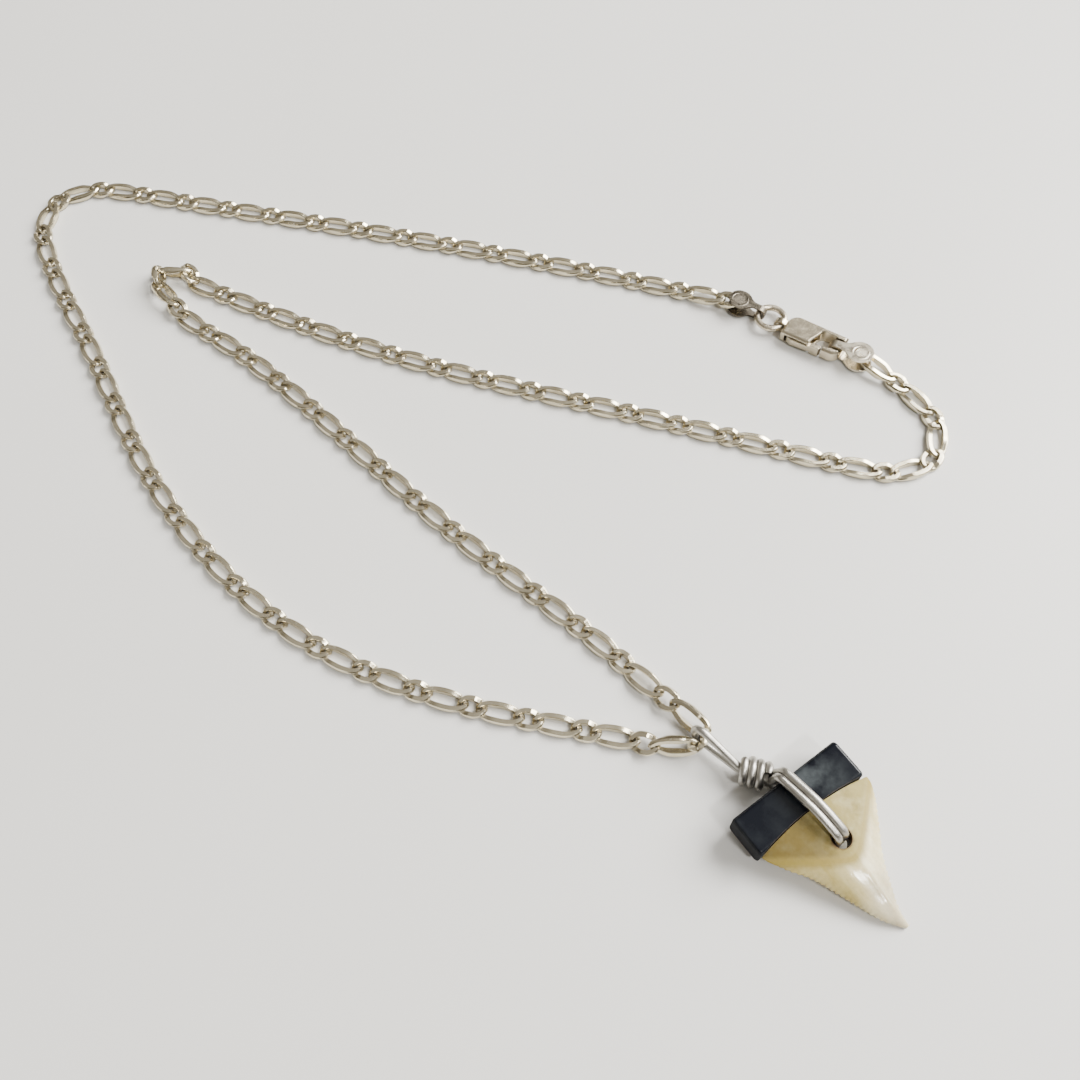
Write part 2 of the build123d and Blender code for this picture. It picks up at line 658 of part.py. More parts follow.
with BuildPart() as tooth_cap:
    cap_left = PENDANT.from_local_coords((-CAP_LENGTH / 2, 0, CAP_BOTTOM + CAP_THICKNESS / 2))
    with BuildSketch(Plane(origin=cap_left, x_dir=PENDANT.y_dir, z_dir=PENDANT.x_dir)):
        RectangleRounded(CAP_DEPTH, CAP_THICKNESS, CAP_ROUND)
    extrude(amount=CAP_LENGTH)
    end_faces = tooth_cap.faces().filter_by(GeomType.PLANE).sort_by(Axis((0, 0, 0), PENDANT.x_dir))
    fillet(end_faces[0].edges() + end_faces[-1].edges(), CAP_END_ROUND)
    extrude(above_mouth(0), amount=CAP_LENGTH, mode=Mode.INTERSECT)
    with BuildSketch(Plane(origin=stub_middle, x_dir=PENDANT.x_dir, z_dir=PENDANT.y_dir)):
        RectangleRounded(
            STUB_LENGTH + 2 * TOOTH_GAP,
            STUB_THICKNESS + 2 * TOOTH_GAP,
            STUB_THICKNESS / 3 + TOOTH_GAP,
        )
    extrude(amount=STUB_DEPTH + 1 + TOOTH_GAP, mode=Mode.SUBTRACT)

tooth_cap.part.label = "tooth_cap"
export_step(tooth_cap.part, "parts/tooth_cap.step")
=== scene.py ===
from math import cos, degrees, exp, hypot, pi, radians, sin

import bmesh
import bpy
import numpy as np
from mathutils import Matrix, Vector


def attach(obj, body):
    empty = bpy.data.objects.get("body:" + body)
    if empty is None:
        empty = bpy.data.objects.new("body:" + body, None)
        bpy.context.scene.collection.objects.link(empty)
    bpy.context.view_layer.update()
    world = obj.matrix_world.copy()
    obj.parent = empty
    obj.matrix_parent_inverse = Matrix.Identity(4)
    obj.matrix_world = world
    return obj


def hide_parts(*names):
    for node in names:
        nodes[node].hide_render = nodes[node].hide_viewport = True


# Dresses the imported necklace: finely cut links, wire, tooth, cap, clasp and tags.
# Metres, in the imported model's frame.

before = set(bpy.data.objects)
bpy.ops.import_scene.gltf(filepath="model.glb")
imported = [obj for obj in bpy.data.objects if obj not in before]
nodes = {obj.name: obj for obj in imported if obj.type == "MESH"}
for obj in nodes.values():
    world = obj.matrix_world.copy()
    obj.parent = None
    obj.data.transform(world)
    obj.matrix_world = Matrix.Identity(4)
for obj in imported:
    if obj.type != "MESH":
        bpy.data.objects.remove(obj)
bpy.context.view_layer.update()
MM = 0.001
rng = np.random.default_rng(7)

# shader helpers


def tree_of(name):
    material = bpy.data.materials.new(name)
    material.use_nodes = True
    tree = material.node_tree
    shader = tree.nodes["Principled BSDF"]
    return material, tree, shader


def add_node(tree, kind, **values):
    """Add a node and set its own settings, or else its inputs, by name."""
    made = tree.nodes.new("ShaderNode" + kind)
    for key, value in values.items():
        if hasattr(made, key):
            setattr(made, key, value)
        else:
            made.inputs[key.replace("_", " ")].default_value = value
    return made


def noise(tree, scale, stretch=(1, 1, 1), turn=0.0, detail=4.0, rough=0.55):
    """Noise in the piece's own frame, scale in features per millimetre."""
    place = add_node(tree, "TexCoord")
    mapping = add_node(tree, "Mapping", vector_type="TEXTURE")
    mapping.inputs["Scale"].default_value = [1 / part for part in stretch]
    mapping.inputs["Rotation"].default_value = (0, 0, turn)
    tree.links.new(place.outputs["Object"], mapping.inputs["Vector"])
    made = add_node(tree, "TexNoise", Scale=scale / MM, Detail=detail, Roughness=rough)
    tree.links.new(mapping.outputs["Vector"], made.inputs["Vector"])
    return made.outputs["Fac"]


def ramp(tree, source, *stops):
    """Turn a share into colour or grey, through stops of place and tone."""
    made = add_node(tree, "ValToRGB")
    points = made.color_ramp.elements
    while len(points) < len(stops):
        points.new(0.5)
    for point, (place, colour) in zip(points, stops):
        point.position = place
        point.color = (*colour, 1) if hasattr(colour, "__len__") else (colour, colour, colour, 1)
    tree.links.new(source, made.inputs["Fac"])
    return made.outputs["Color"]


def mix(tree, share, low, high, way="MIX"):
    """Blend two tones by a share, each an output, a colour or a number."""
    made = add_node(tree, "Mix", data_type="RGBA", blend_type=way)
    sockets = [made.inputs[0], made.inputs[6], made.inputs[7]]
    for socket, value in zip(sockets, (share, low, high)):
        if hasattr(value, "is_linked"):
            tree.links.new(value, socket)
        elif hasattr(value, "__len__"):
            socket.default_value = (*value, 1)
        else:
            socket.default_value = value
    return made.outputs[2]


def maths(tree, way, one, two):
    """Reckon with two values, each an output or a number."""
    made = add_node(tree, "Math", operation=way)
    for socket, value in zip(made.inputs, (one, two)):
        if hasattr(value, "is_linked"):
            tree.links.new(value, socket)
        else:
            socket.default_value = value
    return made.outputs[0]


def bumps(tree, shader, *layers, rounding=0.0):
    """Height layers (source, strength, depth in millimetres) over rounded edges."""
    normal = None
    if rounding:
        edge = add_node(tree, "Bevel", samples=4, Radius=rounding * MM)
        normal = edge.outputs["Normal"]
    for source, strength, depth in layers:
        made = add_node(tree, "Bump", Strength=strength, Distance=depth * MM)
        tree.links.new(source, made.inputs["Height"])
        if normal is not None:
            tree.links.new(normal, made.inputs["Normal"])
        normal = made.outputs["Normal"]
    tree.links.new(normal, shader.inputs["Normal"])


def edge_wear(tree, radius):
    """1 on edges that hands have rubbed bright, 0 elsewhere."""
    edge = add_node(tree, "Bevel", samples=4, Radius=radius * MM)
    place = add_node(tree, "NewGeometry")
    product = add_node(tree, "VectorMath", operation="DOT_PRODUCT")
    tree.links.new(edge.outputs["Normal"], product.inputs[0])
    tree.links.new(place.outputs["Normal"], product.inputs[1])
    return ramp(tree, product.outputs["Value"], (0.75, 1.0), (0.985, 0.0))


def distance_from(tree, point, unit):
    """Distance from a point of the piece's own frame, in units of so many millimetres."""
    place = add_node(tree, "TexCoord")
    away = add_node(tree, "VectorMath", operation="DISTANCE")
    tree.links.new(place.outputs["Object"], away.inputs[0])
    away.inputs[1].default_value = point
    return maths(tree, "MULTIPLY", away.outputs["Value"], 1 / (unit * MM))


def attribute(tree, name):
    return add_node(tree, "Attribute", attribute_name=name).outputs["Fac"]


def crevice(tree, reach):
    """0 in tight corners, where the metals keep their tarnish, 1 in the open."""
    made = add_node(tree, "AmbientOcclusion", samples=6, Distance=reach * MM)
    return ramp(tree, made.outputs["AO"], (0.25, 0.0), (0.8, 1.0))


def grey(value):
    return (value, value, value)


def metal(name, bright, dull, tarnish, smooth, rough, scratch, grain, rounding=0.0):
    """Worn metal: patches of two tones, tarnish in corners, smudges, scratches and grain."""
    material, tree, shader = tree_of(name)
    shader.inputs["Metallic"].default_value = 1.0
    patches = noise(tree, 0.35, detail=5.0)
    colour = mix(tree, ramp(tree, patches, (0.35, 0.0), (0.7, 1.0)), bright, dull)
    open_share = crevice(tree, 0.7)
    grime = mix(tree, ramp(tree, noise(tree, 1.4), (0.3, 0.3), (0.7, 1.0)), colour, tarnish)
    colour = mix(tree, open_share, grime, colour)
    tree.links.new(colour, shader.inputs["Base Color"])
    scratches = noise(tree, 6.0, stretch=(1, 9, 9), turn=0.5, detail=3.0)
    cross = noise(tree, 7.0, stretch=(10, 1, 9), turn=0.2, detail=2.0)
    fine = noise(tree, 22.0, detail=2.0)
    smudge = noise(tree, 0.9, detail=4.0)
    level = mix(tree, ramp(tree, smudge, (0.35, 0.0), (0.7, 1.0)), grey(smooth), grey(rough))
    level = mix(tree, ramp(tree, scratches, (0.55, 0.0), (0.75, 0.35)), level, grey(rough * 1.4))
    level = mix(tree, open_share, grey(min(1.0, rough * 1.8)), level)
    tree.links.new(level, shader.inputs["Roughness"])
    bumps(
        tree,
        shader,
        (scratches, scratch, 0.02),
        (cross, scratch * 0.7, 0.02),
        (fine, grain, 0.012),
        rounding=rounding,
    )
    return material


def paint(piece, material):
    piece.data.materials.clear()
    piece.data.materials.append(material)


# the pendant's own axes, in millimetres: along its cap, down its tooth, up from the table
PENDANT_AT = Vector((35.05, -44.55, 0.04))
PENDANT_TURN = radians(32.1)


def pendant_place(x, depth, z):
    """A point on the pendant's axes, in metres of the model's frame."""
    along = Vector((cos(PENDANT_TURN), sin(PENDANT_TURN), 0))
    down = Vector((sin(PENDANT_TURN), -cos(PENDANT_TURN), 0))
    return (PENDANT_AT + along * x + down * depth + Vector((0, 0, z))) * MM


# materials

# colours, richer than they come out, because the view pales its bright tones
# the left tag's leaf is painted dark, painted shade for a leaf that leans away from the light with its
# lower leaf in shadow
LEFT_TAG_PAINTED_SHADE = (0.16, 0.14, 0.11)
RIGHT_TAG_TONE = (0.78, 0.71, 0.57)
CAP_BLACK = (0.004, 0.005, 0.008)
CAP_SMOKE = (0.075, 0.086, 0.090)
CAP_CHIPS = (0.10, 0.072, 0.048)
ROOT_OCHRE = (0.34, 0.275, 0.09)
ROOT_BROWN = (0.23, 0.18, 0.05)
ROOT_CLOUD = (0.46, 0.40, 0.20)
# painted shade: the dark brown of the root's left flank, which faces away from the window
ROOT_PAINTED_SHADE = (0.12, 0.08, 0.016)
SEAM_YELLOW = (0.31, 0.235, 0.055)
CROWN_CREAM = (0.80, 0.72, 0.46)
CROWN_STREAK = (0.68, 0.58, 0.31)
# painted shade: the crown's darker, yellower tones on the left flank
SHADED_FLANK_CREAM = (0.55, 0.46, 0.22)
SHADED_FLANK_STREAK = (0.45, 0.36, 0.13)
TIP_CREAM = (0.64, 0.57, 0.40)
TIP_STREAK = (0.52, 0.45, 0.30)
# darker brown for the tooth's tight corners, and for its hole and rims
CORNER_BROWN = (0.24, 0.17, 0.075)
BORE_BROWN = (0.09, 0.05, 0.02)
TABLE_WHITE = (0.71, 0.70, 0.67)
TABLE_HAZE = (0.735, 0.725, 0.70)

link_silver = metal(
    "link_silver",
    bright=(0.74, 0.67, 0.50),
    dull=(0.60, 0.54, 0.40),
    tarnish=(0.10, 0.075, 0.045),
    smooth=0.17,
    rough=0.28,
    scratch=0.10,
    grain=0.08,
)
fitting_silver = metal(
    "fitting_silver",
    bright=(0.72, 0.64, 0.50),
    dull=(0.56, 0.49, 0.38),
    tarnish=(0.12, 0.10, 0.08),
    smooth=0.22,
    rough=0.38,
    scratch=0.18,
    grain=0.16,
    rounding=0.06,
)
clasp_silver = metal(
    "clasp_silver",
    bright=(0.76, 0.68, 0.52),
    dull=(0.62, 0.55, 0.42),
    tarnish=(0.14, 0.12, 0.09),
    smooth=0.15,
    rough=0.26,
    scratch=0.06,
    grain=0.05,
    rounding=0.16,
)
bail_metal = metal(
    "bail_metal",
    bright=(0.54, 0.52, 0.475),
    dull=(0.38, 0.365, 0.33),
    tarnish=(0.13, 0.12, 0.11),
    smooth=0.27,
    rough=0.42,
    scratch=0.35,
    grain=0.25,
)

# middles of the tags' upper leaves, in millimetres, and the length that their relief is scaled by
LEFT_LEAF = Vector((39.35, 26.05, 2.3))
RIGHT_LEAF = Vector((54.22, 15.42, 2.2))
RELIEF_REACH = 2.0


def tag_material(name, centre, shine):
    """Leaf metal with a shallow round border and a grained middle, centre in millimetres."""
    material = metal(
        name,
        bright=shine,
        dull=tuple(0.8 * part for part in shine),
        tarnish=(0.10, 0.08, 0.07),
        smooth=0.22,
        rough=0.38,
        scratch=0.18,
        grain=0.14,
        rounding=0.06,
    )
    tree = material.node_tree
    shader = tree.nodes["Principled BSDF"]
    distance = distance_from(tree, centre * MM, RELIEF_REACH)
    border = ramp(tree, distance, (0.50, 0.0), (0.54, 1.0), (0.58, 1.0), (0.62, 0.0))
    middle = ramp(tree, distance, (0.34, 1.0), (0.42, 0.0))
    grain = ramp(tree, noise(tree, 8.0, detail=2.0), (0.35, 0.0), (0.65, 0.6))
    relief = maths(tree, "ADD", border, maths(tree, "MULTIPLY", middle, grain))
    made = add_node(tree, "Bump", Strength=0.5, Distance=0.04 * MM)
    tree.links.new(relief, made.inputs["Height"])
    tree.links.new(shader.inputs["Normal"].links[0].from_socket, made.inputs["Normal"])
    tree.links.new(made.outputs["Normal"], shader.inputs["Normal"])
    return material


# the middle of the cap's smoky patch, in the pendant's axes, and how far from it the smoke thins out
SMOKE_AT = (3.3, -0.9, 4.9)
SMOKE_REACH = 4.0


def cap_material():
    """Near-black gloss with a pale smoky patch, brown worn edges and dull sides."""
    material, tree, shader = tree_of("cap_gloss")
    smoke = ramp(tree, noise(tree, 0.22, detail=6.0, rough=0.6), (0.46, 0.0), (0.74, 1.0))
    near = ramp(tree, distance_from(tree, pendant_place(*SMOKE_AT), SMOKE_REACH), (0.0, 1.0), (1.0, 0.15))
    smoke = maths(tree, "MULTIPLY", smoke, near)
    colour = mix(tree, smoke, CAP_BLACK, CAP_SMOKE)
    chips = ramp(tree, noise(tree, 0.9), (0.42, 0.0), (0.54, 1.0))
    worn = maths(tree, "MULTIPLY", edge_wear(tree, 0.16), chips)
    colour = mix(tree, worn, colour, CAP_CHIPS)
    tree.links.new(colour, shader.inputs["Base Color"])
    level = mix(tree, smoke, grey(0.16), grey(0.30))
    level = mix(tree, worn, level, grey(0.6))
    facing = add_node(tree, "SeparateXYZ")
    tree.links.new(add_node(tree, "NewGeometry").outputs["Normal"], facing.inputs["Vector"])
    level = mix(tree, ramp(tree, facing.outputs["Z"], (0.4, 0.0), (0.85, 1.0)), grey(0.85), level)
    tree.links.new(level, shader.inputs["Roughness"])
    shader.inputs["Specular IOR Level"].default_value = 0.24
    wave = noise(tree, 0.25, detail=2.0)
    pits = noise(tree, 5.0, detail=3.0)
    bumps(tree, shader, (wave, 0.4, 0.2), (pits, 0.10, 0.02), rounding=0.12)
    return material


def tooth_material():
    """Ochre root, yellow seam, cream crown and paler tip, with painted shade on the left flank, by the
    tooth's own attributes.
    """
    material, tree, shader = tree_of("tooth_ivory")
    turn = PENDANT_TURN
    enamel = attribute(tree, "enamel")
    stain = noise(tree, 0.20, stretch=(1.5, 0.7, 1), turn=turn, detail=5.0)
    stain = ramp(tree, stain, (0.36, 0.0), (0.66, 1.0))
    root = mix(tree, stain, ROOT_OCHRE, ROOT_BROWN)
    clouds = ramp(tree, noise(tree, 0.45, detail=4.0), (0.46, 0.0), (0.64, 1.0))
    root = mix(tree, maths(tree, "MULTIPLY", clouds, 0.65), root, ROOT_CLOUD)
    # painted shade darkens the root on the left flank
    root = mix(tree, maths(tree, "MULTIPLY", attribute(tree, "flank_shade"), 0.75), root, ROOT_PAINTED_SHADE)
    streaks = noise(tree, 0.45, stretch=(2.4, 0.35, 1), turn=turn, detail=5.0)
    streaks = ramp(tree, streaks, (0.38, 0.0), (0.68, 1.0))
    crown = mix(tree, streaks, CROWN_CREAM, CROWN_STREAK)
    # painted shade: the crown turns darker and yellower on the left flank
    flank = mix(tree, streaks, SHADED_FLANK_CREAM, SHADED_FLANK_STREAK)
    crown = mix(tree, attribute(tree, "flank_shade"), crown, flank)
    tip = mix(tree, streaks, TIP_CREAM, TIP_STREAK)
    crown = mix(tree, attribute(tree, "tip"), crown, tip)
    colour = mix(tree, enamel, root, crown)
    seam = ramp(tree, enamel, (0.0, 0.0), (0.3, 1.0), (0.55, 1.0), (1.0, 0.0))
    colour = mix(tree, maths(tree, "MULTIPLY", seam, 0.88), colour, SEAM_YELLOW)
    pores = ramp(tree, noise(tree, 2.4, detail=4.0), (0.3, 0.80), (0.6, 1.0))
    colour = mix(tree, 0.5, colour, pores, "MULTIPLY")
    # the tooth is painted darker brown in tight corners
    colour = mix(tree, crevice(tree, 0.5), CORNER_BROWN, colour)
    # the hole and its rims are painted dark brown
    colour = mix(tree, attribute(tree, "bore"), colour, BORE_BROWN)
    tree.links.new(colour, shader.inputs["Base Color"])
    level = mix(tree, enamel, grey(0.6), grey(0.10))
    tree.links.new(level, shader.inputs["Roughness"])
    shader.inputs["Subsurface Weight"].default_value = 0.22
    shader.inputs["Subsurface Radius"].default_value = (1.0, 0.7, 0.4)
    shader.inputs["Subsurface Scale"].default_value = 0.0008
    shader.inputs["Specular IOR Level"].default_value = 0.2
    shader.inputs["Coat Weight"].default_value = 0.06
    shader.inputs["Coat Roughness"].default_value = 0.08
    lines = noise(tree, 0.9, stretch=(2.6, 0.3, 1), turn=turn, detail=4.0)
    grain = noise(tree, 4.0, detail=3.0)
    bumps(tree, shader, (lines, 0.16, 0.12), (grain, 0.10, 0.02))
    return material


# mesh helpers


def ease(value):
    """Smooth step from 0 to 1."""
    held = max(0.0, min(1.0, value))
    return held * held * (3 - 2 * held)


def loft(shape, rings):
    """Skin a row of rings and close both ends."""
    for near, far in zip(rings, rings[1:]):
        for a, b, c, d in zip(near, near[1:] + near[:1], far[1:] + far[:1], far):
            shape.faces.new((a, b, c, d))
    shape.faces.new(rings[0])
    shape.faces.new(rings[-1])


def add_object(name, mesh):
    made = bpy.data.objects.new(name, mesh)
    bpy.context.scene.collection.objects.link(made)
    return made


def add_shape(name, shape):
    """Turn a finished shape into an object."""
    bmesh.ops.recalc_face_normals(shape, faces=shape.faces)
    mesh = bpy.data.meshes.new(name)
    shape.to_mesh(mesh)
    shape.free()
    return add_object(name, mesh)


# fine links on the places of the chain's own links, in millimetres
LINK_WIDTH = 2.8
TIP_WIRE = LINK_WIDTH * 0.207
SIDE_WIRE = LINK_WIDTH * 0.25
CUT_HEIGHT = LINK_WIDTH * 0.179
TIP_BLUNTNESS = 0.92
STATIONS = 48
CORNER_CUT = 0.09
BEVEL_START = 0.4
FLAT_AT_TIP = 0.14
FLAT_GAIN = 0.16
UNEVEN = 0.0015
LINK_CREASE = radians(14)

# the upper face: full height on the raised side, lowest just past the tip, then a shelf and
# a climb to the middle of the other side, with heights in millimetres and turns in degrees
LOW_FACE = 0.02
SHELF_FACE = 0.15
TIP_CLIMB = -14
TIP_CLIMB_RUN = 18
SHELF_FROM = -20
SHELF_RUN = 12
LONG_LINK = 1.7 * LINK_WIDTH
LONG_SIDE_CLIMB = (-50, -84)
SMALL_SIDE_CLIMB = (-60, -88)


def top_face(high, length):
    """Height of a link's upper face, high degrees from its tip towards its raised side."""
    side_from, side_to = LONG_SIDE_CLIMB if length > LONG_LINK else SMALL_SIDE_CLIMB
    if high > SHELF_FROM:
        return LOW_FACE + (CUT_HEIGHT - LOW_FACE) * ease((high - TIP_CLIMB) / TIP_CLIMB_RUN)
    if high > side_from:
        return LOW_FACE + (SHELF_FACE - LOW_FACE) * ease((TIP_CLIMB - high) / SHELF_RUN)
    return SHELF_FACE + (CUT_HEIGHT - SHELF_FACE) * ease((side_from - high) / (side_from - side_to))


def link_section(wire, half, flat):
    """Corners of a cut wire, out from the link and up, each corner taken off."""
    side = half * BEVEL_START
    corners = [(-wire / 2, -half), (-wire / 2, half), (flat, half)]
    corners += [(wire / 2, side), (wire / 2, -side), (flat, -half)]
    section = []
    for (a, b), (c, d) in zip(corners, corners[1:] + corners[:1]):
        section.append((a + (c - a) * CORNER_CUT, b + (d - b) * CORNER_CUT))
        section.append((c + (a - c) * CORNER_CUT, d + (b - d) * CORNER_CUT))
    return section


def link_rings(length):
    """Rings of points round one finely cut link, in millimetres, long axis on X."""
    reach = (length - TIP_WIRE) / 2
    spread = (LINK_WIDTH - SIDE_WIRE) / 2
    rings = []
    for number in range(STATIONS):
        turn = 2 * pi * (number + 0.5) / STATIONS
        share = sin(turn) ** 2
        wire = TIP_WIRE + (SIDE_WIRE - TIP_WIRE) * share
        high = -((degrees(turn) + 90) % 180 - 90)
        top = top_face(high, length)
        base = -top_face(-high, length)
        middle = (top + base) / 2
        flat = wire * (FLAT_AT_TIP + FLAT_GAIN * min(1, 1.5 * share))
        x = reach * abs(cos(turn)) ** TIP_BLUNTNESS * (1 if cos(turn) > 0 else -1)
        y = spread * sin(turn)
        size = hypot(spread * cos(turn), reach * sin(turn))
        out = Vector((spread * cos(turn) / size, reach * sin(turn) / size, 0))
        section = link_section(wire, (top - base) / 2, flat)
        rings.append([(x + out.x * away, y + out.y * away, middle + up) for away, up in section])
    return np.array(rings)


def loose_parts(mesh):
    """The mesh's loose parts, each as an array of its corner points."""
    shape = bmesh.new()
    shape.from_mesh(mesh)
    bmesh.ops.remove_doubles(shape, verts=shape.verts, dist=0.001 * MM)
    seen = set()
    parts = []
    for first in shape.verts:
        if first in seen:
            continue
        seen.add(first)
        group = [first]
        for vert in group:
            for edge in vert.link_edges:
                other = edge.other_vert(vert)
                if other not in seen:
                    seen.add(other)
                    group.append(other)
        parts.append(np.array([vert.co for vert in group]))
    shape.free()
    return parts


def fine_chain():
    """One mesh of finely cut links, each on the place and heading of one of the chain's own."""
    points = []
    faces = []
    count = 0
    for part in loose_parts(nodes["chain"].data):
        centre = part.mean(0)
        axes = np.linalg.eigh(np.cov((part - centre).T))[1]
        along, across = axes[:, 2], axes[:, 1]
        turned = np.column_stack([along, across, np.cross(along, across)])
        length = np.ptp((part - centre) @ along) / MM
        rings = link_rings(length)
        rings = rings + rng.normal(0, UNEVEN, rings.shape)
        stations, sides = rings.shape[:2]
        points.append(rings.reshape(-1, 3) * MM @ turned.T + centre)
        for i in range(stations):
            j = (i + 1) % stations
            for k in range(sides):
                m = (k + 1) % sides
                quad = (i * sides + k, i * sides + m, j * sides + m, j * sides + k)
                faces.append(tuple(count + corner for corner in quad))
        count += stations * sides
    mesh = bpy.data.meshes.new("chain_links")
    mesh.from_pydata(np.concatenate(points).tolist(), [], faces)
    mesh.validate()
    made = add_object("chain_links", mesh)
    mesh.shade_smooth()
    mesh.set_sharp_from_angle(angle=LINK_CREASE)
    paint(made, link_silver)
    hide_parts("chain")
    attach(made, "necklace")


# the tooth: depth below the cap's middle, left edge, right edge, thickness, middle height
TOOTH_ROWS = np.array([
    (1.4, -7.1, 7.9, 3.8, 2.95),
    (2.6, -7.1, 8.2, 3.8, 2.9),
    (4.9, -5.93, 7.4, 3.5, 2.75),
    (7.1, -4.35, 5.9, 3.1, 2.55),
    (10.2, -2.85, 3.8, 2.5, 2.0),
    (12.7, -1.75, 2.7, 2.0, 1.42),
    (15.45, -0.4, 1.65, 1.3, 0.82),
    (17.2, 1.0, 1.5, 0.5, 0.3),
])
TOOTH_END = float(TOOTH_ROWS[-1, 0])
MOUTH = 2.55
MOUTH_HALF = 7.55
MOUTH_ARCH = 0.7
MOUTH_FADE = 4.0
TOOTH_EDGE = 0.16
TOOTH_LENGTHS = 130
TOOTH_SIDES = 36
TOOTH_CREASE = radians(38)

# the crown's line, the tooth's saw edge and its middle ridge
CROWN_AT = 0.8
CROWN_DEPTH = 8.9
LEFT_SLOPE = 0.75
RIGHT_SLOPE = 0.82
CROWN_ROUND = 1.0
CROWN_LIFT = 0.6
CROWN_BLEND = 2.4
CROWN_RISE = 0.07
SAW_FROM = 3.5
SAW_END = 16.8
SAW_DEPTH = 0.07
SAW_PITCH = 0.55
RIDGE_AT = 1.1
RIDGE_HALF = 0.5
RIDGE_FROM = 8.0
RIDGE_RISE = 0.16
SKIN_DROP = 0.06

# the drilled hole and the worn flare of its rims
TOOTH_HOLE = 1.16
HOLE_AT = (0.96, 6.09)
HOLE_SIDES = 56
RIM = 0.10
FLARE = 2.1
DRILL_REACH = 2.0


def tooth_row(depth):
    """Left edge, right edge, thickness and middle height, smooth through the rows."""
    rows = TOOTH_ROWS
    last = len(rows) - 1
    here = min(max(int(np.searchsorted(rows[:, 0], depth)) - 1, 0), last - 1)
    slopes = np.gradient(rows[:, 1:], rows[:, 0], axis=0)
    run = rows[here + 1, 0] - rows[here, 0]
    t = (depth - rows[here, 0]) / run
    low = rows[here, 1:] * (1 + 2 * t) * (1 - t) ** 2 + slopes[here] * run * t * (1 - t) ** 2
    high = rows[here + 1, 1:] * t * t * (3 - 2 * t) - slopes[here + 1] * run * t * t * (1 - t)
    return low + high


def crown_line(x):
    """Depth at which the root gives way to the enamel."""
    slope = LEFT_SLOPE if x < CROWN_AT else RIGHT_SLOPE
    return CROWN_DEPTH - slope * (hypot(x - CROWN_AT, CROWN_ROUND) - CROWN_LIFT)


def enamel_share(x, depth):
    """0 on the root, 1 on the crown."""
    return ease((depth - crown_line(x)) / CROWN_BLEND + 0.5)


def tooth_point(depth, across, side):
    """One point of the tooth's skin, across from -1 to 1, side 1 above and -1 below."""
    left, right, thick, height = tooth_row(depth)
    x = (left + right) / 2 + (right - left) / 2 * across
    edge = abs(across) ** 10 * ease((depth - SAW_FROM) / 2) * ease((SAW_END - depth) / 2)
    x += (1 if across > 0 else -1) * edge * SAW_DEPTH * sin(2 * pi * depth / SAW_PITCH)
    rise = TOOTH_EDGE + (thick / 2 - TOOTH_EDGE) * (1 - across * across) ** 0.9
    rise += CROWN_RISE * enamel_share(x, depth) * (1 - across**6)
    ridge = exp(-(((x - RIDGE_AT) / RIDGE_HALF) ** 2))
    rise += RIDGE_RISE * ridge * ease((depth - RIDGE_FROM) / 3) * ease((TOOTH_END - depth) / 2)
    early = 1 - ease((depth - MOUTH) / MOUTH_FADE)
    down = depth - MOUTH_ARCH * (1 - (x / MOUTH_HALF) ** 2) * early
    return x, down, height + side * (rise - SKIN_DROP)


def hole_cutter():
    """A round drill with flared ends, so that the hole's rims are worn round."""
    thick, height = tooth_row(HOLE_AT[1])[2:]
    top = height + thick / 2
    bottom = height - thick / 2
    profile = [
        (bottom - DRILL_REACH, FLARE),
        (bottom + RIM, 0.0),
        (top - RIM, 0.0),
        (top + DRILL_REACH, FLARE),
    ]
    shape = bmesh.new()
    rings = []
    for z, flare in profile:
        ring = []
        for number in range(HOLE_SIDES):
            turn = 2 * pi * number / HOLE_SIDES
            radius = TOOTH_HOLE + flare
            place = pendant_place(HOLE_AT[0] + radius * cos(turn), HOLE_AT[1] + radius * sin(turn), z)
            ring.append(shape.verts.new(place))
        rings.append(ring)
    loft(shape, rings)
    return add_shape("drill", shape)


def add_attribute(mesh, name, share):
    """Store a share on each corner, worked out from its place along the cap and down the tooth."""
    made = mesh.attributes.new(name, "FLOAT", "POINT")
    for number, vert in enumerate(mesh.vertices):
        place = vert.co / MM - PENDANT_AT
        x = place.x * cos(PENDANT_TURN) + place.y * sin(PENDANT_TURN)
        depth = place.x * sin(PENDANT_TURN) - place.y * cos(PENDANT_TURN)
        made.data[number].value = share(x, depth)


def tip_share(x, depth):
    """1 in the paler tip."""
    return ease((depth - 9.0) / 4.0) * ease((x + 1.2) / 1.6)


def flank_shade_share(x, depth):
    """1 on the left flank above the tip, where shade is painted into the colour."""
    return ease((1.0 - x) / 3) * ease((15.0 - depth) / 4)


def bore_share(x, depth):
    """1 in the hole and on its rims."""
    return ease((TOOTH_HOLE + 0.22 - hypot(x - HOLE_AT[0], depth - HOLE_AT[1])) / 0.2)


